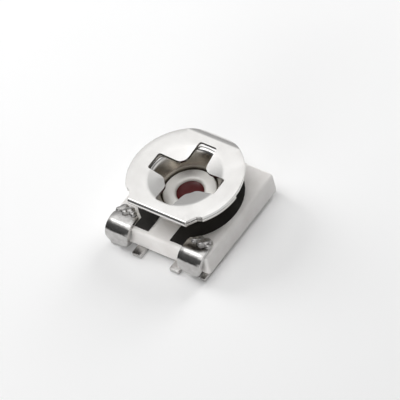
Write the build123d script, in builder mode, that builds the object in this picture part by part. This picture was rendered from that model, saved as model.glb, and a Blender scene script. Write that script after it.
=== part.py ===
from build123d import *
from math import asin, atan2, cos, degrees, hypot, sin
import os

# Surface-mount trimmer potentiometer with an open frame. Sizes in mm.
# The origin is on the rotor's axis at the board's surface, with +Z up and the end terminals towards -Y.

# Ceramic base
base_width = 3.00
base_front = 1.55
base_rear = 1.48
base_thickness = 0.60
base_edge_radius = 0.07
base_corner_radius = 0.09
base_bottom_chamfer = 0.035
base_hole_clearance = 0.01
chip_place = 1.12
chip_length = 0.14
chip_depth = 0.06

# Films printed on the base
film_thickness = 0.02
track_outer_radius = 1.36
track_inner_radius = 0.86
track_leg_inside = 0.33
track_leg_margin = 0.12
electrode_inside = 0.74
electrode_outside = 1.40
electrode_front_margin = 0.13
electrode_length = 0.44
electrode_corner_radius = 0.12

# End terminals, each a sheet clip bent round the front edge of the base
clip_sheet = 0.10
clip_inside = 0.76
clip_outside = 1.45
clip_reach = 0.27
clip_top_bend = 0.40
clip_foot_bend = 0.30
clip_top_length = 0.38
clip_inner_corner = 0.08
clip_outer_corner = 0.20
clip_taper_start = 0.42
clip_taper_end = 0.12
clip_neck_width = 0.32
clip_neck_round = 0.12
flange_inside = 0.43
flange_outside = 1.46
flange_margin = 0.07
flange_length = 0.60
inner_foot_width = 0.29
inner_foot_reach = 0.28
outer_foot_width = 0.16
outer_foot_reach = 0.18
foot_corner_radius = 0.04

# Solder fillets behind the clips: place from the axis, distance behind the clip's top, radius
solder_height = 0.12
solder_slope = 0.05
solder_lumps = ((1.28, 0.05, 0.10), (1.12, 0.03, 0.095), (0.97, 0.05, 0.085))

# Centre terminal with its drawn eyelet
eyelet_bore_radius = 0.33
eyelet_wall = 0.09
flange_side_gap = 0.045
eyelet_flange_thickness = 0.085
eyelet_mouth_round = 0.10
eyelet_rim_round = 0.035
eyelet_foot_chamfer = 0.04
centre_strip_width = 0.66
centre_pad_radius = 0.62
seal_recess = 0.05
seal_meniscus = 0.07

# Rotor, one folded sheet: the driver plate on top and the contact spring below it
sheet = 0.075
rotor_rise = 0.81
fold_gap = 0.03
plate_radius = 1.507
front_cut = 0.197
fold_relief = 0.012
notch_flank_width = 0.147
notch_flank_depth = 0.23
notch_corner_width = 0.247
notch_corner_depth = 0.275
lip_setback = 0.257
lip_radius = 0.30
lip_turn = 65
rim_width = 0.497
dish_inset = 0.04
dish_depth = 0.085
dish_round = 0.30
hub_opening_radius = 0.545
hub_tip_round = 0.12
slot_shift = 0.045
slot_tip_half_width = 0.258
slot_root_half_width = 0.32
slot_corner_radius = 0.06

# Contact spring
spring_setback = 0.017
spring_rim_radius = 1.03
cone_top_radius = 0.93
well_radius = 0.735
well_rise = 0.30
well_draft = 0.015
spring_bend = 0.12
spring_floor_round = 0.03
running_gap = 0.03
flange_gap = 0.01
hub_clearance = 0.03

# Contact arm, bent down from the spring's rear half to the track
arm_bend_place = 0.05
arm_slot = 0.05
arm_outer_radius = 1.42
arm_outer_shift = 0.15
contact_place = 1.19
contact_depth = 0.04
contact_radius = 0.07
contact_clearance = 0.01

# Levels and sizes that follow from the values above
base_bottom = clip_sheet
base_top = base_bottom + base_thickness
film_top = base_top + film_thickness
plate_top = base_top + rotor_rise
plate_bottom = plate_top - sheet
spring_top = plate_bottom - fold_gap
spring_bottom = spring_top - sheet
floor_bottom = base_top + running_gap
floor_top = floor_bottom + sheet
eyelet_flange_bottom = floor_top + flange_gap
eyelet_top = eyelet_flange_bottom + eyelet_flange_thickness
eyelet_radius = eyelet_bore_radius + eyelet_wall
hub_hole_radius = eyelet_radius + hub_clearance
clip_face = base_front + clip_reach
clip_top_rear = base_front - clip_top_length
clip_middle = (clip_inside + clip_outside) / 2
flange_front = base_front - flange_margin
foot_front = base_front + inner_foot_reach
eyelet_flange_radius = well_radius - flange_side_gap
fold_radius = (plate_top - spring_bottom) / 2
fold_axis = plate_radius - front_cut - fold_radius
fold_half_width = (plate_radius**2 - fold_axis**2) ** 0.5 - fold_relief
lip_start = plate_radius - lip_setback
slot_reach = plate_radius - rim_width
dish_radius = slot_reach - dish_inset
spring_radius = plate_radius - spring_setback
arm_inner_radius = spring_rim_radius + arm_slot
beyond = 2 * base_width


# Ceramic base: a pressed tile with soft edges, a hole for the eyelet and one chipped edge
with BuildPart() as ceramic_substrate:
    with BuildSketch(Plane.XY.offset(base_bottom)):
        with Locations((0, (base_rear - base_front) / 2)):
            RectangleRounded(base_width, base_front + base_rear, base_corner_radius)
    extrude(amount=base_thickness)
    fillet(ceramic_substrate.faces().sort_by(Axis.Z)[-1].edges(), base_edge_radius)
    chamfer(ceramic_substrate.faces().sort_by(Axis.Z)[0].edges(), base_bottom_chamfer)
    with BuildSketch(Plane.XY.offset(base_bottom)):
        Circle(eyelet_radius + base_hole_clearance)
    extrude(amount=base_thickness, mode=Mode.SUBTRACT)
    with BuildSketch(Plane.YZ.offset(chip_place)):
        with Locations(Location((base_rear, base_top), 45)):
            Rectangle(chip_depth, 4 * chip_depth)
    extrude(amount=chip_length / 2, both=True, mode=Mode.SUBTRACT)


# Silver pad under one clip, kept clear of the wiper's path
def electrode(side):
    with BuildPart() as pad:
        with BuildSketch(Plane.XY.offset(base_top)):
            middle = side * (electrode_inside + electrode_outside) / 2
            front = base_front - electrode_front_margin
            with Locations((middle, electrode_length / 2 - front)):
                RectangleRounded(
                    electrode_outside - electrode_inside, electrode_length, electrode_corner_radius
                )
            Circle(track_outer_radius, mode=Mode.SUBTRACT)
        extrude(amount=film_thickness)
    return pad


left_electrode = electrode(-1)
right_electrode = electrode(1)

# Resistive track: a horseshoe of cermet film whose legs run forward beside the silver pads
with BuildPart() as resistive_track:
    with BuildSketch(Plane.XY.offset(base_top)):
        Circle(track_outer_radius)
        Circle(track_inner_radius, mode=Mode.SUBTRACT)
        with Locations((0, -track_outer_radius / 2)):
            Rectangle(2 * track_leg_inside, track_outer_radius, mode=Mode.SUBTRACT)
        leg_end = base_front - track_leg_margin
        leg_middle = (track_leg_inside + electrode_inside) / 2
        leg_place = -(track_inner_radius + leg_end) / 2
        with Locations((-leg_middle, leg_place), (leg_middle, leg_place)):
            Rectangle(electrode_inside - track_leg_inside, leg_end - track_inner_radius)
    extrude(amount=film_thickness)


# End terminal: a strap over the front edge, tapered into a flange with two solder feet
with BuildPart() as right_terminal:
    with BuildSketch(Plane.YZ.offset(clip_inside)):
        with BuildLine():
            FilletPolyline(
                (-clip_top_rear, film_top + clip_sheet),
                (-clip_face, film_top + clip_sheet),
                (-clip_face, 0),
                (-flange_front + flange_length, 0),
                radius=[clip_top_bend, clip_foot_bend],
            )
            offset(amount=clip_sheet, side=Side.LEFT)
        make_face()
    extrude(amount=clip_outside - clip_inside)
    with BuildSketch(Plane.XZ):
        with BuildLine():
            neck_left = clip_middle - clip_neck_width / 2
            neck_right = clip_middle + clip_neck_width / 2
            FilletPolyline(
                (clip_inside, plate_top),
                (clip_inside, clip_taper_start),
                (neck_left, clip_taper_end),
                (neck_left, -clip_sheet),
                radius=clip_neck_round,
            )
            FilletPolyline(
                (clip_outside, plate_top),
                (clip_outside, clip_taper_start),
                (neck_right, clip_taper_end),
                (neck_right, -clip_sheet),
                radius=clip_neck_round,
            )
            Line((clip_inside, plate_top), (clip_outside, plate_top))
            Line((neck_left, -clip_sheet), (neck_right, -clip_sheet))
        make_face()
    extrude(amount=beyond, both=True, mode=Mode.INTERSECT)
    for order, radius in ((-1, clip_outer_corner), (0, clip_inner_corner)):
        rear_edges = right_terminal.edges().filter_by(Axis.Z).group_by(Axis.Y)[-1].sort_by(Axis.X)
        fillet(rear_edges[order], radius)
    with BuildSketch(Plane.XY):
        with BuildLine():
            Polyline(
                (flange_inside, flange_length - flange_front),
                (flange_inside, -foot_front),
                (flange_inside + inner_foot_width, -foot_front),
                (flange_inside + inner_foot_width, -flange_front),
                (flange_outside - outer_foot_width, -flange_front),
                (flange_outside - outer_foot_width, -base_front - outer_foot_reach),
                (flange_outside, -base_front - outer_foot_reach),
                (flange_outside, flange_length - flange_front),
                close=True,
            )
        flange = make_face()
        fillet(flange.vertices(), foot_corner_radius)
    extrude(amount=clip_sheet)

with BuildPart() as left_terminal:
    mirror(right_terminal.part, about=Plane.YZ)


# Solder fillet on one silver pad, against the rear edge of the clip's top
with BuildPart() as right_solder:
    for place, distance, radius in solder_lumps:
        with Locations((place, distance - clip_top_rear, film_top)):
            Cone(
                radius,
                radius - solder_slope,
                solder_height,
                align=(Align.CENTER, Align.CENTER, Align.MIN),
            )
    with Locations((clip_middle, -clip_top_rear - clip_top_length / 2, film_top)):
        Box(
            clip_outside - clip_inside,
            clip_top_length,
            2 * clip_sheet,
            align=(Align.CENTER, Align.CENTER, Align.MIN),
            mode=Mode.SUBTRACT,
        )

with BuildPart() as left_solder:
    mirror(right_solder.part, about=Plane.YZ)


# Centre terminal: a strip under the base, drawn up through its hole and flared over the rotor
with BuildPart() as centre_terminal:
    with BuildSketch(Plane.XY):
        Circle(centre_pad_radius)
        with Locations((0, foot_front / 2)):
            Rectangle(centre_strip_width, foot_front)
        Circle(eyelet_bore_radius, mode=Mode.SUBTRACT)
    extrude(amount=clip_sheet)
    with BuildSketch(Plane.XZ) as eyelet_section:
        with BuildLine():
            Polyline(
                (eyelet_bore_radius, 0),
                (eyelet_bore_radius, eyelet_top),
                (eyelet_flange_radius, eyelet_top),
                (eyelet_flange_radius, eyelet_flange_bottom),
                (eyelet_radius, eyelet_flange_bottom),
                (eyelet_radius, 0),
                close=True,
            )
        make_face()
        mouth, rim = eyelet_section.vertices().group_by(Axis.Y)[-1].sort_by(Axis.X)
        fillet(rim, eyelet_rim_round)
        fillet(mouth, eyelet_mouth_round)
    revolve(axis=Axis.Z)
    bore_edges = centre_terminal.edges().filter_by(GeomType.CIRCLE).group_by(Axis.Z)[0]
    chamfer(bore_edges.filter_by(lambda edge: edge.radius < eyelet_radius), eyelet_foot_chamfer)

# Sealing lacquer in the eyelet's bore, with a hollow top
with BuildPart() as eyelet_seal:
    seal_edge = eyelet_top - eyelet_mouth_round
    seal_middle = seal_edge - seal_meniscus
    seal_curve = (eyelet_bore_radius**2 + seal_meniscus**2) / (2 * seal_meniscus)
    with BuildSketch(Plane.XZ):
        with BuildLine():
            Polyline(
                (0, seal_middle),
                (0, seal_recess),
                (eyelet_bore_radius, seal_recess),
                (eyelet_bore_radius, seal_edge),
            )
            RadiusArc((0, seal_middle), (eyelet_bore_radius, seal_edge), -seal_curve)
        make_face()
    revolve(axis=Axis.Z)


# Outline shared by the rotor's two layers: a disc cut at the fold, with a relief notch beside it
def sheet_outline(radius):
    Circle(radius)
    for side in (-1, 1):
        Polygon(
            (side * fold_half_width, -beyond),
            (side * fold_half_width, -fold_axis),
            (side * (fold_half_width + notch_flank_width), notch_flank_depth - fold_axis),
            (side * (fold_half_width + notch_corner_width), notch_corner_depth - fold_axis),
            (side * beyond, notch_corner_depth - fold_axis),
            (side * beyond, -beyond),
            align=None,
            mode=Mode.SUBTRACT,
        )
    with Locations((0, -fold_axis - beyond / 2)):
        Rectangle(2 * beyond, beyond, mode=Mode.SUBTRACT)


# Driver plate: flat rim, shallow dish and cross slot
with BuildPart() as driver_plate:
    with BuildSketch(Plane.XZ) as plate_section:
        with BuildLine():
            Polyline(
                (plate_radius, plate_bottom),
                (plate_radius, plate_top),
                (dish_radius, plate_top),
                (hub_opening_radius, plate_top - dish_depth),
                (hub_opening_radius, plate_bottom - dish_depth),
                (dish_radius, plate_bottom),
                close=True,
            )
        make_face()
        rim_corners = plate_section.vertices().filter_by_position(
            Axis.X, dish_radius - sheet, dish_radius + sheet
        )
        fillet(rim_corners, dish_round)
    revolve(axis=Axis.Z)
    with BuildSketch(Plane.XY.offset(spring_bottom)):
        sheet_outline(plate_radius)
        with Locations((0, lip_start + plate_radius / 2)):
            Rectangle(2 * plate_radius, plate_radius, mode=Mode.SUBTRACT)
    extrude(amount=plate_top, mode=Mode.INTERSECT)
    with BuildSketch(Plane.XY.offset(spring_bottom)) as slot:
        with Locations((0, slot_shift)):
            with PolarLocations(0, 4):
                arms = Polygon(
                    (0, -slot_root_half_width),
                    (slot_reach, -slot_tip_half_width),
                    (slot_reach, slot_tip_half_width),
                    (0, slot_root_half_width),
                    align=None,
                )
        slot_ends = arms.vertices().filter_by(lambda v: hypot(v.X, v.Y - slot_shift) > slot_reach)
        fillet(slot_ends, slot_corner_radius)
        Circle(hub_opening_radius)
        tips = slot.vertices().filter_by(lambda v: abs(hypot(v.X, v.Y) - hub_opening_radius) < 0.001)
        fillet(tips, hub_tip_round)
    extrude(amount=plate_top, mode=Mode.SUBTRACT)

# The plate's rear segment, rolled down
with BuildPart() as rear_lip:
    with BuildSketch(Plane.YZ):
        with BuildLine():
            CenterArc((lip_start, plate_top - lip_radius), lip_radius, 90, -lip_turn)
            offset(amount=sheet, side=Side.RIGHT)
        make_face()
    extrude(amount=plate_radius, both=True)
    with BuildSketch(Plane.XY):
        Circle(plate_radius)
    extrude(amount=2 * plate_top, mode=Mode.INTERSECT)


# Contact spring: a rim under the plate and a cone drawn down to a washer round the eyelet
with BuildPart() as contact_spring:
    with BuildSketch(Plane.XZ):
        with BuildLine():
            FilletPolyline(
                (spring_radius, spring_top),
                (cone_top_radius, spring_top),
                (well_radius, base_top + well_rise),
                (well_radius - well_draft, floor_top),
                (hub_hole_radius, floor_top),
                radius=[spring_bend, spring_bend, spring_floor_round],
            )
            offset(amount=sheet, side=Side.LEFT)
        make_face()
    revolve(axis=Axis.Z)
    with BuildSketch(Plane.XY):
        sheet_outline(spring_radius)
        with Locations((0, arm_bend_place + beyond / 2)):
            Rectangle(2 * beyond, beyond, mode=Mode.SUBTRACT)
        Circle(spring_rim_radius)
    extrude(amount=plate_top, mode=Mode.INTERSECT)


# Contact arm: the spring's rear half ring, bent down until its dimple rides on the track
dimple_curve = (contact_radius**2 + contact_depth**2) / (2 * contact_depth)
dimple_centre = dimple_curve - contact_depth
contact_drop = spring_bottom - film_top - contact_clearance - dimple_curve
arm_angle = asin(contact_drop / hypot(contact_place, dimple_centre)) + atan2(dimple_centre, contact_place)
arm_run = Vector(0, cos(arm_angle), -sin(arm_angle))
arm_normal = Vector(0, sin(arm_angle), cos(arm_angle))
arm_plane = Plane(origin=(0, arm_bend_place, spring_bottom), x_dir=(1, 0, 0), z_dir=arm_normal)
contact_point = arm_plane.from_local_coords(Vector(0, contact_place, 0))


def dimple_section(height):
    with BuildSketch(Plane(origin=contact_point, x_dir=(1, 0, 0), z_dir=-arm_run)) as section:
        with BuildLine():
            Line((0, height - contact_depth), (0, height))
            Line((0, height), (contact_radius, height))
            RadiusArc((0, height - contact_depth), (contact_radius, height), -dimple_curve)
        make_face()
    return section.sketch


with BuildPart() as contact_arm:
    with BuildSketch(arm_plane):
        with Locations((0, -arm_outer_shift)):
            Circle(arm_outer_radius)
        with Locations((0, -arm_bend_place)):
            Circle(arm_inner_radius, mode=Mode.SUBTRACT)
        with Locations((0, -beyond / 2)):
            Rectangle(2 * beyond, beyond, mode=Mode.SUBTRACT)
    extrude(amount=sheet)
    revolve(dimple_section(0), axis=Axis(contact_point, arm_normal))
    revolve(dimple_section(sheet), axis=Axis(contact_point, arm_normal), mode=Mode.SUBTRACT)
    bend_end = (arm_outer_radius**2 - arm_outer_shift**2) ** 0.5
    bend_start = (arm_inner_radius**2 - arm_bend_place**2) ** 0.5
    for start in (-bend_end, bend_start):
        with BuildSketch(Plane.YZ.offset(start)):
            with BuildLine():
                Line((arm_bend_place, spring_bottom), (arm_bend_place, spring_top))
                CenterArc((arm_bend_place, spring_bottom), sheet, 90, -degrees(arm_angle))
                Line(
                    (arm_bend_place, spring_bottom),
                    (arm_bend_place + sheet * sin(arm_angle), spring_bottom + sheet * cos(arm_angle)),
                )
            make_face()
        extrude(amount=bend_end - bend_start)


# Rotor: plate and spring joined by the fold at the front
with BuildPart() as rotor:
    add(driver_plate.part)
    add(rear_lip.part)
    add(contact_spring.part)
    add(contact_arm.part)
    with BuildSketch(Plane.YZ):
        with Locations((-fold_axis, spring_bottom + fold_radius)):
            Circle(fold_radius)
            Circle(fold_radius - sheet, mode=Mode.SUBTRACT)
        with Locations((-fold_axis + fold_radius, spring_bottom + fold_radius)):
            Rectangle(2 * fold_radius, 2 * fold_radius, mode=Mode.SUBTRACT)
    extrude(amount=fold_half_width, both=True)


pieces = {
    "ceramic_substrate": ceramic_substrate,
    "resistive_track": resistive_track,
    "left_electrode": left_electrode,
    "right_electrode": right_electrode,
    "left_terminal": left_terminal,
    "right_terminal": right_terminal,
    "left_solder": left_solder,
    "right_solder": right_solder,
    "centre_terminal": centre_terminal,
    "eyelet_seal": eyelet_seal,
    "rotor": rotor,
}

os.makedirs("parts", exist_ok=True)
for name, piece in pieces.items():
    piece.part.label = name
    export_step(piece.part, f"parts/{name}.step")
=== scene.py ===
import bmesh
import bpy
import math
from mathutils import Matrix, Vector


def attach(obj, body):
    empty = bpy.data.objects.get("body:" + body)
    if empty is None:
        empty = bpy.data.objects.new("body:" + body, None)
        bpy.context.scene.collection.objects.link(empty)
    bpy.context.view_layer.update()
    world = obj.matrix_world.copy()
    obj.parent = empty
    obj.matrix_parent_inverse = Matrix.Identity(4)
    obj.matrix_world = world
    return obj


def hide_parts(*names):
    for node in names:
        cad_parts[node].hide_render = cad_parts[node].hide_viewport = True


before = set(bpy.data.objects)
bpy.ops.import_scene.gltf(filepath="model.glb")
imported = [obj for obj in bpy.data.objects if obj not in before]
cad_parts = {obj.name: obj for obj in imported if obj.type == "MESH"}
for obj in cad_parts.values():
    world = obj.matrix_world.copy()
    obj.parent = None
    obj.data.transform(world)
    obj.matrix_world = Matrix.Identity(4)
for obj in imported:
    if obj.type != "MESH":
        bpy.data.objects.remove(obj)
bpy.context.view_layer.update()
print("frame loaded:", sorted(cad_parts))

# Pieces are modelled in millimetres and brought to metres when they are finished.
# Their sizes below are in millimetres and degrees, and heights count from the solder faces.
toMetres = 0.001
toMillimetres = 1 / toMetres
fullTurn = 2 * math.pi
smoothAngle = math.radians(32)
bevelAngle = math.radians(50)
pickReach = 0.0005  # mm, for picking points by their place
mergeReach = 0.0001  # mm, for merging points
far = 4.0  # mm, well outside the part


# Camera
cameraSet = {
    "turn": 47.311,  # degrees, as fitted to the photograph
    "height": 48.767,
    "roll": 16.768,
    "distance": 148.0,  # mm from the point below
    "lookAt": (0, 0, 0.70),
    "offset": (0.2153, -0.1113),
    "frameWidth": 9.909,  # mm seen across the frame at that distance
    "sensor": 36.0,
    "clip": (0.001, 100),  # m
}


def makeCamera(settings):
    turn, height, roll = (math.radians(settings[name]) for name in ("turn", "height", "roll"))
    right = Vector((math.cos(turn), math.sin(turn), 0))
    away = Vector((-math.sin(turn), math.cos(turn), 0))
    up = away * math.sin(height) + Vector((0, 0, math.cos(height)))
    forward = away * math.cos(height) - Vector((0, 0, math.sin(height)))
    cameraX = right * math.cos(roll) - up * math.sin(roll)
    cameraY = right * math.sin(roll) + up * math.cos(roll)
    place = Vector(settings["lookAt"]) - forward * settings["distance"]
    place += cameraX * settings["offset"][0] + cameraY * settings["offset"][1]
    data = bpy.data.cameras.new("photoCamera")
    data.sensor_width = settings["sensor"]
    data.lens = settings["sensor"] * settings["distance"] / settings["frameWidth"]
    data.clip_start, data.clip_end = settings["clip"]
    camera = bpy.data.objects.new("photoCamera", data)
    bpy.context.scene.collection.objects.link(camera)
    turned = Matrix((cameraX, cameraY, -forward)).transposed().to_4x4()
    camera.matrix_world = Matrix.Translation(place * toMetres) @ turned
    bpy.context.scene.camera = camera


makeCamera(cameraSet)
print("camera placed")


# Modelling helpers
def clearSelection():
    if bpy.context.object and bpy.context.object.mode != "OBJECT":
        bpy.ops.object.mode_set(mode="OBJECT")
    bpy.ops.object.select_all(action="DESELECT")


def takeOnly(*pieces):
    clearSelection()
    for piece in pieces:
        piece.select_set(True)
    bpy.context.view_layer.objects.active = pieces[0]


def openEdit(piece, kind="VERT"):
    takeOnly(piece)
    bpy.ops.object.mode_set(mode="EDIT")
    bpy.ops.mesh.select_mode(type=kind)
    bpy.ops.mesh.select_all(action="DESELECT")


def closeEdit():
    bpy.ops.object.mode_set(mode="OBJECT")


def editAll(piece):
    openEdit(piece)
    bpy.ops.mesh.select_all(action="SELECT")


# Selects the points or edges that pass a test, which gets a list of each one's places
def pick(piece, kind, test):
    mesh = bmesh.from_edit_mesh(piece.data)
    if kind == "VERT":
        for vert in mesh.verts:
            vert.select_set(test([vert.co]))
    else:
        for edge in mesh.edges:
            edge.select_set(test([vert.co for vert in edge.verts]))
    mesh.select_flush_mode()
    bmesh.update_edit_mesh(piece.data)


def near(target):
    return lambda ends: (ends[0] - target).length < pickReach


def fillOutline():
    bpy.ops.mesh.select_all(action="SELECT")
    bpy.ops.mesh.edge_face_add()
    bpy.ops.mesh.select_all(action="SELECT")


def placeMesh(piece, place, stretch=None):
    editAll(piece)
    if stretch:
        bpy.ops.transform.resize(value=stretch)
    bpy.ops.transform.translate(value=place)
    closeEdit()


def firstPoint(name, place):
    clearSelection()
    bpy.ops.mesh.primitive_plane_add(size=1, location=(0, 0, 0))
    piece = bpy.context.object
    piece.name = name
    bpy.ops.object.mode_set(mode="EDIT")
    bpy.ops.mesh.select_mode(type="VERT")
    bpy.ops.mesh.merge(type="CENTER")
    bpy.ops.transform.translate(value=place)
    return piece


def drawWire(name, corners, closed, segments=5):
    places = [Vector(corner[0]) for corner in corners]
    piece = firstPoint(name, places[0])
    for start, end in zip(places, places[1:]):
        bpy.ops.mesh.extrude_region_move(TRANSFORM_OT_translate={"value": end - start})
    if closed:
        first, last = near(places[0]), near(places[-1])
        pick(piece, "VERT", lambda ends: first(ends) or last(ends))
        bpy.ops.mesh.edge_face_add()
    for place, corner in zip(places, corners):
        if corner[1]:
            pick(piece, "VERT", near(place))
            bpy.ops.mesh.bevel(offset=corner[1], segments=segments, affect="VERTICES")
    closeEdit()
    return piece


def tidyMesh(piece):
    editAll(piece)
    bpy.ops.mesh.remove_doubles(threshold=mergeReach)
    bpy.ops.mesh.normals_make_consistent(inside=False)
    closeEdit()


# Turns the faces over if they look down, all of them or those above one height
def faceUp(piece, above=-far):
    if sum(face.normal.z for face in piece.data.polygons if face.center.z > above) < 0:
        editAll(piece)
        bpy.ops.mesh.flip_normals()
        closeEdit()


def spinWire(piece, steps):
    editAll(piece)
    bpy.ops.mesh.spin(steps=steps, angle=fullTurn, center=(0, 0, 0), axis=(0, 0, 1), use_auto_merge=True)
    closeEdit()
    tidyMesh(piece)


def raiseOutline(name, corners, bottom, top, segments=5):
    raised = [((x, y, bottom), size) for x, y, size in corners]
    piece = drawWire(name, raised, closed=True, segments=segments)
    openEdit(piece)
    fillOutline()
    bpy.ops.mesh.extrude_region_move(TRANSFORM_OT_translate={"value": (0, 0, top - bottom)})
    closeEdit()
    tidyMesh(piece)
    return piece


def applyModifier(piece, kind, **settings):
    takeOnly(piece)
    made = piece.modifiers.new(kind.lower(), kind)
    for name, value in settings.items():
        setattr(made, name, value)
    bpy.ops.object.modifier_apply(modifier=made.name)


def thicken(piece, sheet):
    applyModifier(piece, "SOLIDIFY", thickness=sheet, offset=-1, use_even_offset=True)


def roundEdges(piece, size):
    applyModifier(piece, "BEVEL", width=size, segments=3, limit_method="ANGLE", angle_limit=bevelAngle)


def combine(piece, other, how):
    applyModifier(piece, "BOOLEAN", operation=how, object=other, solver="EXACT")
    bpy.data.objects.remove(other)


def joinAll(name, pieces):
    takeOnly(*pieces)
    bpy.ops.object.join()
    joined = bpy.context.view_layer.objects.active
    joined.name = name
    joined.data.name = name
    return joined


def finishPiece(piece, name, material, body, node):
    piece.name = name
    piece.data.name = name
    takeOnly(piece)
    piece.scale = (toMetres, toMetres, toMetres)
    bpy.ops.object.transform_apply(location=True, rotation=True, scale=True)
    bpy.ops.object.shade_smooth_by_angle(angle=smoothAngle)
    piece.data.materials.clear()
    piece.data.materials.append(material)
    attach(piece, body)
    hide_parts(node)
    print("made", name, len(piece.data.polygons), "faces")


def addBox(low, high):
    clearSelection()
    middle = [(start + end) / 2 for start, end in zip(low, high)]
    bpy.ops.mesh.primitive_cube_add(size=1, location=(0, 0, 0))
    box = bpy.context.object
    placeMesh(box, middle, [end - start for start, end in zip(low, high)])
    return box


def addRod(radius, bottom, top, centre=(0, 0), sides=160):
    clearSelection()
    bpy.ops.mesh.primitive_cylinder_add(
        vertices=sides, radius=radius, depth=top - bottom, location=(0, 0, 0)
    )
    rod = bpy.context.object
    placeMesh(rod, (centre[0], centre[1], (top + bottom) / 2))
    return rod


def addBall(radius, place, segments, rings, stretch=None):
    clearSelection()
    bpy.ops.mesh.primitive_uv_sphere_add(
        segments=segments, ring_count=rings, radius=radius, location=(0, 0, 0)
    )
    ball = bpy.context.object
    placeMesh(ball, place, stretch)
    return ball


# Shared shader effects. Places are in millimetres, and the heights of waves and grain in metres.
def newGroup(name, inputs, outputs):
    group = bpy.data.node_groups.new(name, "ShaderNodeTree")
    for label, kind, value in inputs:
        socket = group.interface.new_socket(label, in_out="INPUT", socket_type=kind)
        if value is not None:
            socket.default_value = value
    for label, kind in outputs:
        group.interface.new_socket(label, in_out="OUTPUT", socket_type=kind)
    return group, group.nodes.new("NodeGroupInput"), group.nodes.new("NodeGroupOutput")


def addNode(tree, kind, **settings):
    node = tree.nodes.new(kind)
    for name, value in settings.items():
        if name in node.inputs:
            node.inputs[name].default_value = value
        else:
            setattr(node, name, value)
    return node


def mathNode(tree, operation, first, second):
    node = tree.nodes.new("ShaderNodeMath")
    node.operation = operation
    for socket, value in zip(node.inputs, (first, second)):
        if isinstance(value, (int, float)):
            socket.default_value = value
        else:
            tree.links.new(value, socket)
    return node.outputs[0]


def placeInMillimetres(tree):
    coords = tree.nodes.new("ShaderNodeTexCoord")
    mapping = tree.nodes.new("ShaderNodeMapping")
    mapping.inputs["Scale"].default_value = (toMillimetres, toMillimetres, toMillimetres)
    tree.links.new(coords.outputs["Object"], mapping.inputs["Vector"])
    return mapping.outputs["Vector"]


def noiseOn(tree, place, scale, detail, rough, stretch=None):
    if stretch:
        squeezed = tree.nodes.new("ShaderNodeMapping")
        squeezed.inputs["Scale"].default_value = stretch
        tree.links.new(place, squeezed.inputs["Vector"])
        place = squeezed.outputs["Vector"]
    noise = tree.nodes.new("ShaderNodeTexNoise")
    noise.inputs["Detail"].default_value = detail
    noise.inputs["Roughness"].default_value = rough
    tree.links.new(place, noise.inputs["Vector"])
    if isinstance(scale, (int, float)):
        noise.inputs["Scale"].default_value = scale
    else:
        tree.links.new(scale, noise.inputs["Scale"])
    return noise.outputs["Fac"]


def splitOn(tree, vector):
    node = tree.nodes.new("ShaderNodeSeparateXYZ")
    tree.links.new(vector, node.inputs[0])
    return node.outputs


# Carries the range from low to high over to atLow and atHigh, and stays there beyond it
def spread(tree, value, low, high, atLow, atHigh):
    node = tree.nodes.new("ShaderNodeMapRange")
    node.clamp = True
    tree.links.new(value, node.inputs["Value"])
    for label, put in (("From Min", low), ("From Max", high), ("To Min", atLow), ("To Max", atHigh)):
        if isinstance(put, (int, float)):
            node.inputs[label].default_value = put
        else:
            tree.links.new(put, node.inputs[label])
    return node.outputs["Result"]


# The colour sockets of a Mix node stand after those for numbers and vectors
mixSockets = {"factor": 0, "first": 6, "second": 7, "result": 2}


def mixColour(tree, mask, first, second, blend="MIX"):
    node = tree.nodes.new("ShaderNodeMix")
    node.data_type = "RGBA"
    node.blend_type = blend
    if mask is None:
        node.inputs[mixSockets["factor"]].default_value = 1.0
    else:
        tree.links.new(mask, node.inputs[mixSockets["factor"]])
    tree.links.new(first, node.inputs[mixSockets["first"]])
    tree.links.new(second, node.inputs[mixSockets["second"]])
    return node.outputs[mixSockets["result"]]


def bumpOn(tree, height, distance, normal=None):
    bump = tree.nodes.new("ShaderNodeBump")
    tree.links.new(distance, bump.inputs["Distance"])
    tree.links.new(height, bump.inputs["Height"])
    if normal:
        tree.links.new(normal, bump.inputs["Normal"])
    return bump.outputs["Normal"]


surfaceOutputs = [
    ("Colour", "NodeSocketColor"), ("Gloss", "NodeSocketFloat"), ("Normal", "NodeSocketVector"),
]
plating = {
    "cloud": {"detail": 5.0, "rough": 0.6},
    "grain": {"scale": 26.0, "detail": 2.0, "rough": 0.7, "stretch": (1, 9, 3)},
    "wave": {"detail": 2.0, "rough": 0.5},
    "cloudShare": 0.75,
    "grainShare": 0.25,
    "tintRange": (0.38, 0.66),
    "glossRange": (0.35, 0.68),
}


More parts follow.
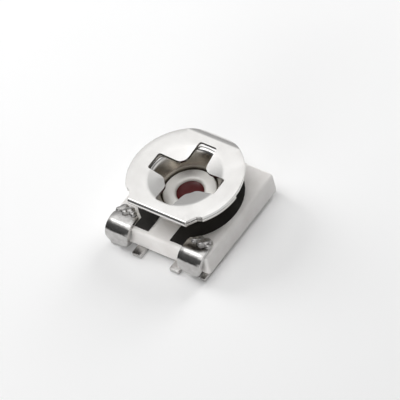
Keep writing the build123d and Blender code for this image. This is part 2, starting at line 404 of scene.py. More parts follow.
# Cloudy plating: mottled tint and gloss, fine rolled grain and a slight waviness of the surface
def makeMetalEffect(look):
    tree, start, end = newGroup(
        "platedSheetEffect",
        [
            ("Place", "NodeSocketVector", None),
            ("Bright", "NodeSocketColor", (0.8, 0.8, 0.8, 1)),
            ("Dull", "NodeSocketColor", (0.6, 0.6, 0.6, 1)),
            ("Dull Amount", "NodeSocketFloat", 0.4),
            ("Cloud Scale", "NodeSocketFloat", 2.0),
            ("Gloss Low", "NodeSocketFloat", 0.15),
            ("Gloss High", "NodeSocketFloat", 0.3),
            ("Wave Scale", "NodeSocketFloat", 3.0),
            ("Wave Height", "NodeSocketFloat", 2e-6),
            ("Grain Height", "NodeSocketFloat", 4e-7),
        ],
        surfaceOutputs,
    )
    given = start.outputs
    cloud = noiseOn(tree, given["Place"], given["Cloud Scale"], **look["cloud"])
    grain = noiseOn(tree, given["Place"], **look["grain"])
    cloudPart = mathNode(tree, "MULTIPLY", cloud, look["cloudShare"])
    both = mathNode(tree, "ADD", cloudPart, mathNode(tree, "MULTIPLY", grain, look["grainShare"]))
    mask = spread(tree, both, *look["tintRange"], 0.0, given["Dull Amount"])
    tree.links.new(mixColour(tree, mask, given["Bright"], given["Dull"]), end.inputs["Colour"])
    gloss = spread(tree, both, *look["glossRange"], given["Gloss Low"], given["Gloss High"])
    tree.links.new(gloss, end.inputs["Gloss"])
    wave = noiseOn(tree, given["Place"], given["Wave Scale"], **look["wave"])
    waved = bumpOn(tree, wave, given["Wave Height"])
    tree.links.new(bumpOn(tree, grain, given["Grain Height"], waved), end.inputs["Normal"])
    return tree


firing = {
    "cloud": {"scale": 1.7, "detail": 4.0, "rough": 0.6},
    "grain": {"detail": 3.0, "rough": 0.65},
    "stainRange": (0.42, 0.70),
    "speckRange": (0.62, 0.72),
    "glossRange": (0.35, 0.65),
}


# Fired surface: fine grain, faint stains and sparse dark specks
def makeFiredEffect(look):
    tree, start, end = newGroup(
        "firedSurfaceEffect",
        [
            ("Place", "NodeSocketVector", None),
            ("Body", "NodeSocketColor", (0.8, 0.8, 0.8, 1)),
            ("Stain", "NodeSocketColor", (0.6, 0.6, 0.6, 1)),
            ("Stain Amount", "NodeSocketFloat", 0.4),
            ("Speck Amount", "NodeSocketFloat", 0.3),
            ("Gloss Low", "NodeSocketFloat", 0.4),
            ("Gloss High", "NodeSocketFloat", 0.55),
            ("Grain Scale", "NodeSocketFloat", 30.0),
            ("Grain Height", "NodeSocketFloat", 2e-6),
        ],
        surfaceOutputs,
    )
    given = start.outputs
    cloud = noiseOn(tree, given["Place"], **look["cloud"])
    grain = noiseOn(tree, given["Place"], given["Grain Scale"], **look["grain"])
    stained = spread(tree, cloud, *look["stainRange"], 0.0, given["Stain Amount"])
    specks = spread(tree, grain, *look["speckRange"], 0.0, given["Speck Amount"])
    mask = mathNode(tree, "MAXIMUM", stained, specks)
    tree.links.new(mixColour(tree, mask, given["Body"], given["Stain"]), end.inputs["Colour"])
    gloss = spread(tree, cloud, *look["glossRange"], given["Gloss Low"], given["Gloss High"])
    tree.links.new(gloss, end.inputs["Gloss"])
    tree.links.new(bumpOn(tree, grain, given["Grain Height"]), end.inputs["Normal"])
    return tree


# Between these upward shares of the normal, a face goes from a steep edge face, which gets the painted edge
# shade, to a flat one
steepRange = (0.18, 0.32)


# Painted shade: a dark colour on steep edge faces above one height and inside a radius, standing in for the
# shade in the gaps at cut edges, and a darker, warmer tone below another height, standing in for shade and
# inter-reflections down in hollows
def makeEdgeAndDepthShadeEffect():
    tree, start, end = newGroup(
        "paintedEdgeAndDepthShade",
        [
            ("Place", "NodeSocketVector", None),
            ("Facing", "NodeSocketVector", None),
            ("Colour", "NodeSocketColor", (0.8, 0.8, 0.8, 1)),
            ("Reach", "NodeSocketFloat", 1.0),
            ("Edge From", "NodeSocketFloat", 1.0),
            ("Edge Shade Colour", "NodeSocketColor", (0.2, 0.2, 0.2, 1)),
            ("Depth From", "NodeSocketFloat", 1.0),
            ("Depth To", "NodeSocketFloat", 0.9),
            ("Depth Shade Tone", "NodeSocketColor", (0.8, 0.8, 0.8, 1)),
        ],
        [("Colour", "NodeSocketColor"), ("Height", "NodeSocketFloat")],
    )
    given = start.outputs
    facing = splitOn(tree, given["Facing"])
    steep = spread(tree, mathNode(tree, "ABSOLUTE", facing["Z"], 0), *steepRange, 1, 0)
    place = splitOn(tree, given["Place"])
    high = mathNode(tree, "GREATER_THAN", place["Z"], given["Edge From"])
    across = mathNode(tree, "POWER", place["X"], 2)
    along = mathNode(tree, "POWER", place["Y"], 2)
    out = mathNode(tree, "SQRT", mathNode(tree, "ADD", across, along), 0)
    inner = mathNode(tree, "LESS_THAN", out, given["Reach"])
    # Painted shade: lower down, the colour is multiplied by the darker, warmer depth tone, for the shade
    # and inter-reflections in hollows
    deepShadeMask = spread(tree, place["Z"], given["Depth To"], given["Depth From"], 1, 0)
    warmShade = mixColour(tree, None, given["Colour"], given["Depth Shade Tone"], "MULTIPLY")
    depthShaded = mixColour(tree, deepShadeMask, given["Colour"], warmShade)
    # Painted shade: the dark edge colour goes on steep faces above Edge From and inside the reach
    edge = mathNode(tree, "MULTIPLY", mathNode(tree, "MULTIPLY", steep, high), inner)
    tree.links.new(mixColour(tree, edge, depthShaded, given["Edge Shade Colour"]), end.inputs["Colour"])
    tree.links.new(place["Z"], end.inputs["Height"])
    return tree


metalEffect = makeMetalEffect(plating)
firedEffect = makeFiredEffect(firing)
edgeShadeEffect = makeEdgeAndDepthShadeEffect()


def makeFinish(name, effect, values, surface):
    material = bpy.data.materials.new(name)
    material.use_nodes = True
    tree = material.node_tree
    shader = tree.nodes["Principled BSDF"]
    for label, value in surface.items():
        shader.inputs[label].default_value = value
    group = tree.nodes.new("ShaderNodeGroup")
    group.node_tree = effect
    for label, value in values.items():
        group.inputs[label].default_value = value
    tree.links.new(placeInMillimetres(tree), group.inputs["Place"])
    tree.links.new(group.outputs["Colour"], shader.inputs["Base Color"])
    tree.links.new(group.outputs["Gloss"], shader.inputs["Roughness"])
    tree.links.new(group.outputs["Normal"], shader.inputs["Normal"])
    return material


# Adds the painted edge and depth shade and, where metalFrom is given, a metal share that falls from 1 at
# its first height to its last value at its second
def addPaintedShade(material, values, metalFrom=None):
    tree = material.node_tree
    shader = tree.nodes["Principled BSDF"]
    group = tree.nodes.new("ShaderNodeGroup")
    group.node_tree = edgeShadeEffect
    for label, value in values.items():
        group.inputs[label].default_value = value
    tree.links.new(shader.inputs["Base Color"].links[0].from_socket, group.inputs["Colour"])
    tree.links.new(placeInMillimetres(tree), group.inputs["Place"])
    coords = tree.nodes.new("ShaderNodeTexCoord")
    tree.links.new(coords.outputs["Normal"], group.inputs["Facing"])
    tree.links.new(group.outputs["Colour"], shader.inputs["Base Color"])
    if metalFrom:
        low, high, share = metalFrom
        metal = spread(tree, group.outputs["Height"], low, high, 1.0, share)
        tree.links.new(metal, shader.inputs["Metallic"])


rotorMetal = makeFinish(
    "nickelSheet", metalEffect,
    {
        "Bright": (0.80, 0.79, 0.775, 1),
        "Dull": (0.72, 0.705, 0.685, 1),
        "Dull Amount": 0.5,
        "Cloud Scale": 1.6,
        "Gloss Low": 0.17,
        "Gloss High": 0.27,
        "Wave Scale": 1.2,
        "Wave Height": 3e-6,
        "Grain Height": 3e-7,
    },
    {"Metallic": 1.0},
)
# Painted shade on the rotor: dark steep faces stand in for the shaded gaps at cut edges, and the darker,
# warmer tone below 1.40 mm stands in for shade and inter-reflection in the slots and the well
addPaintedShade(
    rotorMetal,
    {
        "Reach": 1.15,
        "Edge From": 1.33,
        "Edge Shade Colour": (0.20, 0.19, 0.18, 1),
        "Depth From": 1.40,
        "Depth To": 1.30,
        "Depth Shade Tone": (0.68, 0.645, 0.59, 1),
    },
)
tinnedMetal = makeFinish(
    "tinnedSheet", metalEffect,
    {
        "Bright": (0.61, 0.60, 0.59, 1),
        "Dull": (0.38, 0.37, 0.36, 1),
        "Dull Amount": 0.7,
        "Cloud Scale": 6.0,
        "Gloss Low": 0.10,
        "Gloss High": 0.22,
        "Wave Scale": 3.0,
        "Wave Height": 6e-6,
        "Grain Height": 6e-7,
    },
    {"Metallic": 1.0},
)
eyeletMetal = makeFinish(
    "tinnedEyelet", metalEffect,
    {
        "Bright": (0.95, 0.935, 0.90, 1),
        "Dull": (0.84, 0.81, 0.77, 1),
        "Dull Amount": 0.5,
        "Cloud Scale": 4.0,
        "Gloss Low": 0.36,
        "Gloss High": 0.48,
        "Wave Scale": 3.0,
        "Wave Height": 5e-6,
        "Grain Height": 4e-7,
    },
    {},
)
# Painted shade on the eyelet: dark steep faces in the mouth and a darker tone below 0.89 mm stand in for
# the shade down in the bore
addPaintedShade(
    eyeletMetal,
    {
        "Reach": 0.46,
        "Edge From": 0.70,
        "Edge Shade Colour": (0.16, 0.13, 0.12, 1),
        "Depth From": 0.89,
        "Depth To": 0.83,
        "Depth Shade Tone": (0.52, 0.49, 0.46, 1),
    },
    metalFrom=(0.3, 0.6, 0.25),
)
solderMetal = makeFinish(
    "reflowedSolder", metalEffect,
    {
        "Bright": (0.56, 0.55, 0.54, 1),
        "Dull": (0.26, 0.25, 0.24, 1),
        "Dull Amount": 0.7,
        "Cloud Scale": 9.0,
        "Gloss Low": 0.20,
        "Gloss High": 0.38,
        "Wave Scale": 9.0,
        "Wave Height": 1e-5,
        "Grain Height": 6e-7,
    },
    {"Metallic": 1.0},
)
aluminaFinish = makeFinish(
    "firedAlumina", firedEffect,
    {
        "Body": (0.90, 0.88, 0.86, 1),
        "Stain": (0.70, 0.66, 0.62, 1),
        "Stain Amount": 0.35,
        "Speck Amount": 0.30,
        "Gloss Low": 0.34,
        "Gloss High": 0.48,
        "Grain Scale": 24.0,
        "Grain Height": 2.5e-6,
    },
    {"Specular IOR Level": 0.5},
)
trackFinish = makeFinish(
    "cermetFilm", firedEffect,
    {
        "Body": (0.020, 0.019, 0.018, 1),
        "Stain": (0.050, 0.046, 0.042, 1),
        "Stain Amount": 0.5,
        "Speck Amount": 0.35,
        "Gloss Low": 0.34,
        "Gloss High": 0.50,
        "Grain Scale": 30.0,
        "Grain Height": 2e-6,
    },
    {"Specular IOR Level": 0.2},
)
silverFinish = makeFinish(
    "firedSilver", metalEffect,
    {
        "Bright": (0.74, 0.73, 0.70, 1),
        "Dull": (0.52, 0.50, 0.47, 1),
        "Dull Amount": 0.7,
        "Cloud Scale": 5.0,
        "Gloss Low": 0.38,
        "Gloss High": 0.55,
        "Wave Scale": 8.0,
        "Wave Height": 4e-6,
        "Grain Height": 1e-6,
    },
    {"Metallic": 1.0},
)
lacquerFinish = makeFinish(
    "redLacquer", firedEffect,
    {
        "Body": (0.085, 0.012, 0.012, 1),
        "Stain": (0.035, 0.007, 0.007, 1),
        "Stain Amount": 0.5,
        "Speck Amount": 0.1,
        "Gloss Low": 0.12,
        "Gloss High": 0.24,
        "Grain Scale": 7.0,
        "Grain Height": 4e-6,
    },
    {"Specular IOR Level": 0.2},
)
print("materials made")


# Rotor
rotorSheet = {
    "sheet": 0.075,
    "top": 1.51,
    "springTop": 1.405,
    "rim": 1.507,
    "rimRound": 0.014,
    "rimUnder": 0.006,  # rounding of the rim's lower edge
    "plateRings": (1.35, 1.15),  # extra rings that keep the flat part evenly shaded
    "dishStart": 0.97,
    "dishDepth": 0.085,
    "dishRound": 0.045,
    "dishRing": 0.75,
    "openingRound": 0.008,
    "hubOpening": 0.545,
    "hubTipRound": 0.12,
    "foldAxis": 1.22,
    "foldHalfWidth": 0.873,
    "notchFlank": (1.02, 0.99),
    "notchCorner": (1.12, 0.945),
    "notchRound": 0.02,
    "slotShift": 0.045,
    "slotReach": 1.01,
    "slotTip": 0.258,
    "slotRoot": 0.32,
    "slotCorner": 0.06,
    "lipStart": 1.25,
    "lipRadius": 0.30,
    "lipTurn": 65,
    "springRim": 1.49,
    "springRing": 1.25,
    "springInnerRim": 1.03,
    "coneTop": 0.93,
    "coneRound": 0.066,
    "wellTop": (0.735, 1.0),
    "wellTopRound": 0.026,
    "wellFloor": (0.72, 0.805),
    "wellFloorRound": 0.03,
    "floorRing": 0.58,
    "hubHole": 0.45,
    "armBend": 0.05,
    "armInner": 1.08,
    "armOuter": 1.42,
    "armShift": 0.15,
    "armAngle": 27.8,
    "contactPlace": 1.19,
    "contactCurve": 0.08125,
    "contactDepth": 0.04,
    "contactSteps": (32, 24),
    "cutHeights": (1.2, 1.7),  # of what cuts the plate and the spring
    "roundCut": (1.0, 1.9),
    "armCut": (-1.0, 1.0),
    "steps": 160,
    "foldSteps": 18,
    "lipSteps": 24,
    "bendSteps": 5,
}


def makeCornerCutter(part):
    left = [
        (-far, -part["notchCorner"][1], 0),
        (-part["notchCorner"][0], -part["notchCorner"][1], 0),
        (-part["notchFlank"][0], -part["notchFlank"][1], part["notchRound"]),
        (-part["foldHalfWidth"], -part["foldAxis"], 0),
    ]
    right = [(-x, y, size) for x, y, size in reversed(left)]
    beyond = [(far, -far, 0), (-far, -far, 0)]
    return raiseOutline("frontCut", left + right + beyond, *part["cutHeights"])


def slotOutline(part):
    cross = []
    shift = Vector((0, part["slotShift"]))
    for quarter in range(4):
        turned = Matrix.Rotation(quarter * math.pi / 2, 2)
        for side in (-1, 1):
            tip = turned @ Vector((part["slotReach"], side * part["slotTip"])) + shift
            cross.append((tip, part["slotCorner"]))
        # Where the hub opening meets the sides of this arm and of the next
        for arm, side in ((turned, 1), (turned @ Matrix.Rotation(math.pi / 2, 2), -1)):
            root = arm @ Vector((0, side * part["slotRoot"])) + shift
            tip = arm @ Vector((part["slotReach"], side * part["slotTip"])) + shift
            cross.append((meetCircle(root, tip, part["hubOpening"]), part["hubTipRound"]))
    return [(place.x, place.y, corner) for place, corner in cross]


# Finds the point between start and end that lies at this radius, by halving
def meetCircle(start, end, radius, halvings=40):
    low, high = 0.0, 1.0
    for halving in range(halvings):
        middle = (low + high) / 2
        if start.lerp(end, middle).length < radius:
            low = middle
        else:
            high = middle
    return start.lerp(end, low)


def makePlate(part):
    top, bottom = part["top"], part["top"] - part["sheet"]
    drop = part["dishDepth"]
    ringDrop = drop * (part["dishStart"] - part["dishRing"]) / (part["dishStart"] - part["hubOpening"])
    section = [
        ((part["rim"], 0, bottom), part["rimUnder"]),
        ((part["rim"], 0, top), part["rimRound"]),
        ((part["plateRings"][0], 0, top), 0),
        ((part["plateRings"][1], 0, top), 0),
        ((part["dishStart"], 0, top), part["dishRound"]),
        ((part["dishRing"], 0, top - ringDrop), 0),
        ((part["hubOpening"], 0, top - drop), part["openingRound"]),
        ((part["hubOpening"], 0, bottom - drop), 0),
        ((part["dishStart"], 0, bottom), part["dishRound"]),
    ]
    plate = drawWire("plate", section, closed=True, segments=6)
    spinWire(plate, part["steps"])
    low, high = part["cutHeights"]
    combine(plate, makeCornerCutter(part), "DIFFERENCE")
    combine(plate, raiseOutline("slotCut", slotOutline(part), low, high), "DIFFERENCE")
    combine(plate, addBox((-far, part["lipStart"], low), (far, far, high)), "DIFFERENCE")
    return plate


# A strip swept from an upright section that turns about an axis along X
def makeBentStrip(name, halfWidth, start, heights, angle, centre, steps):
    low, high = heights
    section = [
        ((-halfWidth, start, low), 0),
        ((halfWidth, start, low), 0),
        ((halfWidth, start, high), 0),
        ((-halfWidth, start, high), 0),
    ]
    strip = drawWire(name, section, closed=True)
    openEdit(strip)
    fillOutline()
    bpy.ops.mesh.spin(steps=steps, angle=angle, center=centre, axis=(1, 0, 0))
    closeEdit()
    tidyMesh(strip)
    return strip


def makeSpring(part):
    path = [
        ((part["springRim"], 0, part["springTop"]), 0),
        ((part["springRing"], 0, part["springTop"]), 0),
        ((part["coneTop"], 0, part["springTop"]), part["coneRound"]),
        ((part["wellTop"][0], 0, part["wellTop"][1]), part["wellTopRound"]),
        ((part["wellFloor"][0], 0, part["wellFloor"][1]), part["wellFloorRound"]),
        ((part["floorRing"], 0, part["wellFloor"][1]), 0),
        ((part["hubHole"], 0, part["wellFloor"][1]), 0),
    ]
    spring = drawWire("spring", path, closed=False, segments=6)
    spinWire(spring, part["steps"])
    faceUp(spring)
    thicken(spring, part["sheet"])
    low, high = part["cutHeights"]
    cutter = addBox((-far, part["armBend"], low), (far, far, high))
    combine(cutter, addRod(part["springInnerRim"], *part["roundCut"]), "DIFFERENCE")
    combine(spring, cutter, "DIFFERENCE")
    combine(spring, makeCornerCutter(part), "DIFFERENCE")
    return spring


def makeArm(part):
    low, high = part["armCut"]
    arm = addRod(part["armOuter"], 0, part["sheet"], (0, -part["armShift"]))
    combine(arm, addRod(part["armInner"], low, high, (0, -part["armBend"])), "DIFFERENCE")
    combine(arm, addBox((-far, -far, low), (far, 0, high)), "DIFFERENCE")
    for height, how in ((0, "UNION"), (part["sheet"], "DIFFERENCE")):
        rise = height + part["contactCurve"] - part["contactDepth"]
        ball = addBall(part["contactCurve"], (0, part["contactPlace"], rise), *part["contactSteps"])
        combine(arm, ball, how)
    arm.location = (0, part["armBend"], part["springTop"] - part["sheet"])
    arm.rotation_euler = (-math.radians(part["armAngle"]), 0, 0)
    takeOnly(arm)
    bpy.ops.object.transform_apply(location=True, rotation=True, scale=True)
    return arm


def makeRotor(part):
    plateHeights = (part["top"] - part["sheet"], part["top"])
    springBottom = part["springTop"] - part["sheet"]
    middle = (part["top"] + springBottom) / 2
    plate = makePlate(part)
    fold = makeBentStrip(
        "fold", part["foldHalfWidth"], -part["foldAxis"], plateHeights,
        angle=-math.pi, centre=(0, -part["foldAxis"], middle), steps=part["foldSteps"],
    )
    lip = makeBentStrip(
        "lip", part["rim"], part["lipStart"], plateHeights,
        angle=math.radians(part["lipTurn"]),
        centre=(0, part["lipStart"], part["top"] - part["lipRadius"]), steps=part["lipSteps"],
    )
    combine(lip, addRod(part["rim"], *part["roundCut"]), "INTERSECT")
    spring = makeSpring(part)
    arm = makeArm(part)
    bendEnd = math.sqrt(part["armOuter"] ** 2 - part["armShift"] ** 2)
    bendStart = math.sqrt(part["armInner"] ** 2 - part["armBend"] ** 2)
    bends = []
    for side in (-1, 1):
        bend = makeBentStrip(
            "bend", (bendEnd - bendStart) / 2, part["armBend"], (springBottom, part["springTop"]),
            angle=math.radians(part["armAngle"]),
            centre=(0, part["armBend"], springBottom), steps=part["bendSteps"],
        )
        placeMesh(bend, (side * (bendEnd + bendStart) / 2, 0, 0))
        bends.append(bend)
    return joinAll("rotorSheet", [plate, fold, lip, spring, arm] + bends)


finishPiece(makeRotor(rotorSheet), "rotorSheet", rotorMetal, "rotor", "rotor")


# Centre terminal and its eyelet
eyelet = {
    "bore": 0.33,
    "wall": 0.09,
    "flange": 0.69,
    "flangeBottom": 0.815,
    "flangeRound": 0.02,
    "neckRound": 0.015,
    "top": 0.90,
    "mouthRound": 0.14,
    "rimRound": 0.035,
    "footChamfer": 0.04,
    "padRadius": 0.62,
    "sheet": 0.10,
    "stripHalfWidth": 0.33,
    "stripEnd": 1.83,
    "edgeRound": 0.015,
    "steps": 128,
}


def makeEyelet(part):
    outside = part["bore"] + part["wall"]
    section = [
        ((part["bore"] + part["footChamfer"], 0, 0), 0),
        ((part["bore"], 0, part["footChamfer"]), 0),
        ((part["bore"], 0, part["top"]), part["mouthRound"]),
        ((part["flange"], 0, part["top"]), part["rimRound"]),
        ((part["flange"], 0, part["flangeBottom"]), part["flangeRound"]),
        ((outside, 0, part["flangeBottom"]), part["neckRound"]),
        ((outside, 0, part["sheet"]), 0),
        ((part["padRadius"], 0, part["sheet"]), part["edgeRound"]),
        ((part["padRadius"], 0, 0), part["edgeRound"]),
    ]
    ring = drawWire("eyelet", section, closed=True, segments=7)
    spinWire(ring, part["steps"])
    halfWidth = part["stripHalfWidth"]
    strip = addBox((-halfWidth, outside, 0), (halfWidth, part["stripEnd"], part["sheet"]))
    roundEdges(strip, part["edgeRound"])
    return joinAll("centreTerminal", [ring, strip])


finishPiece(makeEyelet(eyelet), "centreTerminal", eyeletMetal, "base", "centre_terminal")


# Lacquer in the bore, hollow at its top
lacquer = {
    "radius": 0.33,
    "bottom": 0.05,
    "bottomRound": 0.01,
    "shoulder": 0.775,
    "shoulderRound": 0.02,
    "lip": 0.354,
    "edge": 0.843,
    "middle": 0.80,
    # shares of the radius, and of the sag there
    "hollow": ((0.97, 0.30), (0.82, 0.52), (0.66, 0.72), (0.46, 0.87), (0.24, 0.965)),
    "steps": 96,
}


def makeLacquer(part):
    sag = part["edge"] - part["middle"]
    section = [
        ((0, 0, part["bottom"]), 0),
        ((part["radius"], 0, part["bottom"]), part["bottomRound"]),
        ((part["radius"], 0, part["shoulder"]), part["shoulderRound"]),
        ((part["lip"], 0, part["edge"]), 0),
    ]
    section += [((part["radius"] * out, 0, part["edge"] - sag * down), 0) for out, down in part["hollow"]]
    section.append(((0, 0, part["middle"]), 0))
    plug = drawWire("lacquer", section, closed=False)
    spinWire(plug, part["steps"])
    return plug


finishPiece(makeLacquer(lacquer), "eyeletSeal", lacquerFinish, "base", "eyelet_seal")


# End terminals
clip = {
    "sheet": 0.10,
    "inside": 0.76,
    "outside": 1.45,
    "rear": -1.17,
    "face": -1.82,
    "top": 0.82,
    "topBend": 0.40,
    "middle": 0.36,  # of the upright face
    "footBend": 0.30,
    "footRing": -1.50,
    "footEnd": -0.98,
    "bendSteps": 10,
    "columns": 4,
    "taperTop": 0.42,
    "taperBottom": 0.12,
    "neck": 0.32,
    "tipDrop": 0.045,
    "topBand": 0.05,  # below the top, where faces count as the top's
    "outerCorner": 0.20,
    "innerCorner": 0.08,
    "cornerSteps": 8,
    "cutGap": 0.001,  # by which a corner's cutter passes the edges
    "cutLead": 0.01,  # straight length before and after its curve
    "cutSpare": 0.1,
    "cutHeights": (0.5, 1.0),
    "flangeInside": 0.43,
    "flangeOutside": 1.46,
    "flangeFront": -1.48,
    "flangeRear": -0.88,
    "innerFoot": (0.29, -1.83),  # width and front end
    "outerFoot": (0.16, -1.73),
    "footCorner": 0.04,
    "edgeRound": 0.014,
}


def makeStrap(part):
    path = [
        ((part["inside"], part["rear"], part["top"] - part["tipDrop"]), 0),
        ((part["inside"], part["face"], part["top"]), part["topBend"]),
        ((part["inside"], part["face"], part["middle"]), 0),
        ((part["inside"], part["face"], 0), part["footBend"]),
        ((part["inside"], part["footRing"], 0), 0),
        ((part["inside"], part["footEnd"], 0), 0),
    ]
    strap = drawWire("strap", path, closed=False, segments=part["bendSteps"])
    width = part["outside"] - part["inside"]
    openEdit(strap)
    for step in range(part["columns"]):
        at = part["inside"] + width * step / part["columns"]
        pick(strap, "VERT", lambda ends: abs(ends[0].x - at) < pickReach)
        bpy.ops.mesh.extrude_region_move(TRANSFORM_OT_translate={"value": (width / part["columns"], 0, 0)})
    closeEdit()
    return strap


# Narrows the strap row by row from its taper's top down to the neck
def taperStrap(strap, part):
    middle = (part["inside"] + part["outside"]) / 2
    narrowing = 1 - part["neck"] / (part["outside"] - part["inside"])
    heights = [vert.co.z for vert in strap.data.vertices]
    rows = sorted({round(height, ndigits=4) for height in heights if height < part["taperTop"] - pickReach})
    openEdit(strap)
    for row in rows:
        share = max(0.0, min(1.0, (part["taperTop"] - row) / (part["taperTop"] - part["taperBottom"])))
        eased = share * share * (3 - 2 * share)
        pick(strap, "VERT", lambda ends: abs(ends[0].z - row) < mergeReach)
        factor = 1 - eased * narrowing
        bpy.ops.transform.resize(value=(factor, 1, 1), center_override=(middle, 0, 0))
    closeEdit()
    tidyMesh(strap)


def cutTopCorner(strap, edge, side, size, part):
    start, end = edge - side * (size + part["cutLead"]), edge + side * part["cutGap"]
    behind, front = part["rear"] + part["cutSpare"], part["rear"] - size - part["cutLead"]
    scrap = [
        (start, behind, 0),
        (start, part["rear"] + part["cutGap"], 0),
        (end, part["rear"] + part["cutGap"], size),
        (end, front, 0),
        (edge + side * part["cutSpare"], front, 0),
        (edge + side * part["cutSpare"], behind, 0),
    ]
    combine(strap, raiseOutline("scrap", scrap, *part["cutHeights"], part["cornerSteps"]), "DIFFERENCE")


def makeFlange(part):
    innerEnd = part["flangeInside"] + part["innerFoot"][0]
    outerStart = part["flangeOutside"] - part["outerFoot"][0]
    outline = [
        (part["flangeInside"], part["flangeRear"]),
        (part["flangeInside"], part["innerFoot"][1]),
        (innerEnd, part["innerFoot"][1]),
        (innerEnd, part["flangeFront"]),
        (outerStart, part["flangeFront"]),
        (outerStart, part["outerFoot"][1]),
        (part["flangeOutside"], part["outerFoot"][1]),
        (part["flangeOutside"], part["flangeRear"]),
    ]
    corners = [(x, y, part["footCorner"]) for x, y in outline]
    return raiseOutline("flange", corners, 0, part["sheet"], segments=4)


def makeClip(part):
    strap = makeStrap(part)
    taperStrap(strap, part)
    faceUp(strap, part["top"] - part["topBand"])
    thicken(strap, part["sheet"])
    cutTopCorner(strap, part["outside"], 1, part["outerCorner"], part)
    cutTopCorner(strap, part["inside"], -1, part["innerCorner"], part)
    flange = makeFlange(part)
    for piece in (strap, flange):
        roundEdges(piece, part["edgeRound"])
    return joinAll("rightTerminal", [strap, flange])


def mirrorCopy(piece, name):
    takeOnly(piece)
    bpy.ops.object.duplicate(linked=False)
    twin = bpy.context.object
    twin.name = name
    editAll(twin)
    bpy.ops.transform.mirror(
        orient_type="GLOBAL", constraint_axis=(True, False, False), center_override=(0, 0, 0)
    )
    bpy.ops.mesh.normals_make_consistent(inside=False)
    closeEdit()
    return twin


rightClip = makeClip(clip)
leftClip = mirrorCopy(rightClip, "leftTerminal")
finishPiece(rightClip, "rightTerminal", tinnedMetal, "base", "right_terminal")
finishPiece(leftClip, "leftTerminal", tinnedMetal, "base", "left_terminal")


# Solder behind the clips
solder = {
    "lumps": (
        # x, y, radius, top
        (1.26, -1.12, 0.135, 0.85),
        (1.06, -1.12, 0.115, 0.86),
        (0.93, -1.19, 0.09, 0.85),
        (1.37, -1.21, 0.085, 0.84),
        (1.16, -1.23, 0.095, 0.87),
    ),
    "bottom": 0.72,
    "ballSteps": (24, 16),
    "cell": 0.009,
    "smoothing": 36,
}


def makeSolder(part):
    balls = []
    for x, y, radius, top in part["lumps"]:
        place = (x, y, (top + part["bottom"]) / 2)
        stretch = (1, 1, (top - part["bottom"]) / 2 / radius)
        balls.append(addBall(radius, place, *part["ballSteps"], stretch))
    lump = joinAll("rightSolder", balls)
    applyModifier(lump, "REMESH", mode="VOXEL", voxel_size=part["cell"])
    applyModifier(lump, "SMOOTH", factor=0.5, iterations=part["smoothing"])
    return lump


rightLump = makeSolder(solder)
leftLump = mirrorCopy(rightLump, "leftSolder")
finishPiece(rightLump, "rightSolder", solderMetal, "base", "right_solder")
finishPiece(leftLump, "leftSolder", solderMetal, "base", "left_solder")


# Ceramic base
tile = {
    "halfWidth": 1.50,
    "front": -1.55,
    "rear": 1.48,
    "bottom": 0.10,
    "top": 0.70,
    "cornerRound": 0.09,
    "topRound": 0.07,
    "bottomRound": 0.035,
    "hole": 0.43,
    "holeSteps": 96,
    "chip": (1.13, 1.46, 0.70),
    "chipSize": (0.085, 0.055, 0.065),
    "chipRoughness": 0.12,
    "chipSeed": 4,
}


def makeTile(part):
    halfWidth, bottom, top = part["halfWidth"], part["bottom"], part["top"]
    block = addBox((-halfWidth, part["front"], bottom), (halfWidth, part["rear"], top))
    rounds = (
        # size, segments, which edges
        ("cornerRound", 6, lambda ends: abs(ends[0].z - ends[1].z) > pickReach),
        ("topRound", 6, lambda ends: min(end.z for end in ends) > top - pickReach),
        ("bottomRound", 3, lambda ends: max(end.z for end in ends) < bottom + pickReach),
    )
    openEdit(block, "EDGE")
    for size, segments, test in rounds:
        pick(block, "EDGE", test)
        bpy.ops.mesh.bevel(offset=part[size], segments=segments, affect="EDGES")
    closeEdit()
    combine(block, addRod(part["hole"], 0, 1, sides=part["holeSteps"]), "DIFFERENCE")
    clearSelection()
    bpy.ops.mesh.primitive_ico_sphere_add(subdivisions=2, radius=1, location=(0, 0, 0))
    chip = bpy.context.object
    editAll(chip)
    bpy.ops.transform.vertex_random(offset=part["chipRoughness"], seed=part["chipSeed"])
    closeEdit()
    placeMesh(chip, part["chip"], part["chipSize"])
    combine(block, chip, "DIFFERENCE")
    return block


finishPiece(makeTile(tile), "ceramicBase", aluminaFinish, "base", "ceramic_substrate")


# The printed films keep their CAD shape
films = {
    "resistive_track": trackFinish,
    "left_electrode": silverFinish,
    "right_electrode": silverFinish,
}
for node, film in films.items():
    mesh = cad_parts[node].data
    mesh.materials.clear()
    mesh.materials.append(film)
print("films dressed")


# Floor, world and lamps. Mirror rays are the glossy and the transmission rays.
def splitRays(tree):
    path = tree.nodes.new("ShaderNodeLightPath")
    mirrored = mathNode(tree, "MAXIMUM", path.outputs["Is Glossy Ray"], path.outputs["Is Transmission Ray"])
    return path.outputs["Is Camera Ray"], mirrored


paper = {
    "size": 2.0,  # m
    "place": (0, 0, -2e-6),
    "colour": (0.90, 0.90, 0.90, 1),
    "glow": 0.06,  # seen by the camera and by mirror rays only
}


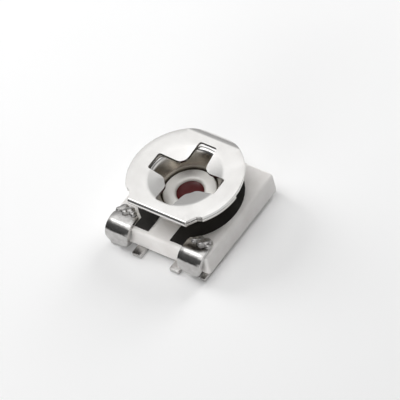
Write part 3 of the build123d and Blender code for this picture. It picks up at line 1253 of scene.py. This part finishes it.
def makeFloor(look):
    clearSelection()
    bpy.ops.mesh.primitive_plane_add(size=look["size"], location=look["place"])
    floor = bpy.context.object
    floor.name = "paperFloor"
    material = bpy.data.materials.new("whitePaper")
    material.use_nodes = True
    tree = material.node_tree
    tree.nodes.clear()
    out = tree.nodes.new("ShaderNodeOutputMaterial")
    diffuse = addNode(tree, "ShaderNodeBsdfDiffuse", Color=look["colour"])
    glow = addNode(tree, "ShaderNodeEmission", Color=(1, 1, 1, 1))
    seen = mathNode(tree, "MAXIMUM", *splitRays(tree))
    tree.links.new(mathNode(tree, "MULTIPLY", seen, look["glow"]), glow.inputs["Strength"])
    both = tree.nodes.new("ShaderNodeAddShader")
    tree.links.new(diffuse.outputs[0], both.inputs[0])
    tree.links.new(glow.outputs[0], both.inputs[1])
    tree.links.new(both.outputs[0], out.inputs["Surface"])
    floor.data.materials.append(material)


def direction(azimuth, height):
    turn, rise = math.radians(azimuth), math.radians(height)
    return Vector((math.cos(turn) * math.cos(rise), math.sin(turn) * math.cos(rise), math.sin(rise)))


# One soft round patch of the room, by its direction and its inner and outer half angle
def roomPatch(tree, toward, azimuth, height, inner, outer, level):
    side = tree.nodes.new("ShaderNodeVectorMath")
    side.operation = "DOT_PRODUCT"
    tree.links.new(toward, side.inputs[0])
    side.inputs[1].default_value = direction(azimuth, height)
    edges = (math.cos(math.radians(angle)) for angle in (outer, inner))
    return spread(tree, side.outputs["Value"], *edges, 0, level)


# The world is white to the camera and a dim room to all other rays.
# Mirror rays see the white backdrop and soft patches in that room, in place of the lamps.
def makeWorld(room):
    world = bpy.data.worlds.new("studio")
    bpy.context.scene.world = world
    world.use_nodes = True
    tree = world.node_tree
    tree.nodes.clear()
    out = tree.nodes.new("ShaderNodeOutputWorld")
    coords = tree.nodes.new("ShaderNodeTexCoord")
    upward = splitOn(tree, coords.outputs["Generated"])["Z"]
    level = spread(tree, upward, room["wallTop"], room["skyStart"], room["wall"], room["sky"])
    panels = None
    for patch in room["patches"]:
        lit = roomPatch(tree, coords.outputs["Generated"], *patch)
        panels = lit if panels is None else mathNode(tree, "MAXIMUM", panels, lit)
    camera, mirrored = splitRays(tree)
    level = mathNode(tree, "ADD", level, mathNode(tree, "MULTIPLY", panels, mirrored))
    level = mathNode(tree, "MAXIMUM", level, camera)
    light = addNode(tree, "ShaderNodeBackground", Color=(1, 1, 1, 1))
    tree.links.new(level, light.inputs["Strength"])
    tree.links.new(light.outputs[0], out.inputs["Surface"])


def makeLamp(name, azimuth, height, size, level):
    data = bpy.data.lights.new(name, "AREA")
    data.shape = "RECTANGLE"
    data.size, data.size_y = (side * toMetres for side in size)
    data.energy = level * math.pi * data.size * data.size_y
    lamp = bpy.data.objects.new(name, data)
    bpy.context.scene.collection.objects.link(lamp)
    toward = direction(azimuth, height)
    lamp.location = toward * lampDistance * toMetres
    lamp.rotation_euler = toward.to_track_quat("Z", "Y").to_euler()
    lamp.visible_glossy = False
    lamp.visible_transmission = False


room = {
    "wall": 0.05,
    "sky": 0.14,
    "wallTop": 0.20,
    "skyStart": 0.70,
    "patches": (
        # azimuth, height, inner and outer half angle, level
        (144, 60, 13, 27, 1.10),
        (144, 30, 30, 50, 0.38),
        (180, 31, 14, 20, 1.12),
        (182, 62, 6, 11, 3.20),
        (82, 32, 14, 20, 1.15),
        (200, 80, 22, 30, 1.12),
        (-88, 8, 16, 26, 1.15),
        (-20, 16, 30, 72, 0.55),
        (28, 32, 12, 26, 0.75),
    ),
}
lampDistance = 60  # mm
lampSet = [
    # name, azimuth, height, size, level
    ("keySoftbox", 147, 53, (34, 34), 0.24),
    ("leftSoftbox", 178, 31, (28, 34), 5.6),
    ("rearSoftbox", 84, 32, (20, 34), 6.8),
    ("overheadSoftbox", 200, 79, (46, 42), 2.35),
    ("frontSoftbox", -86, 10, (44, 20), 5.2),
]
makeFloor(paper)
makeWorld(room)
for lamp in lampSet:
    makeLamp(*lamp)
bpy.context.scene.view_settings.view_transform = "Standard"
print("floor, world and lamps set")
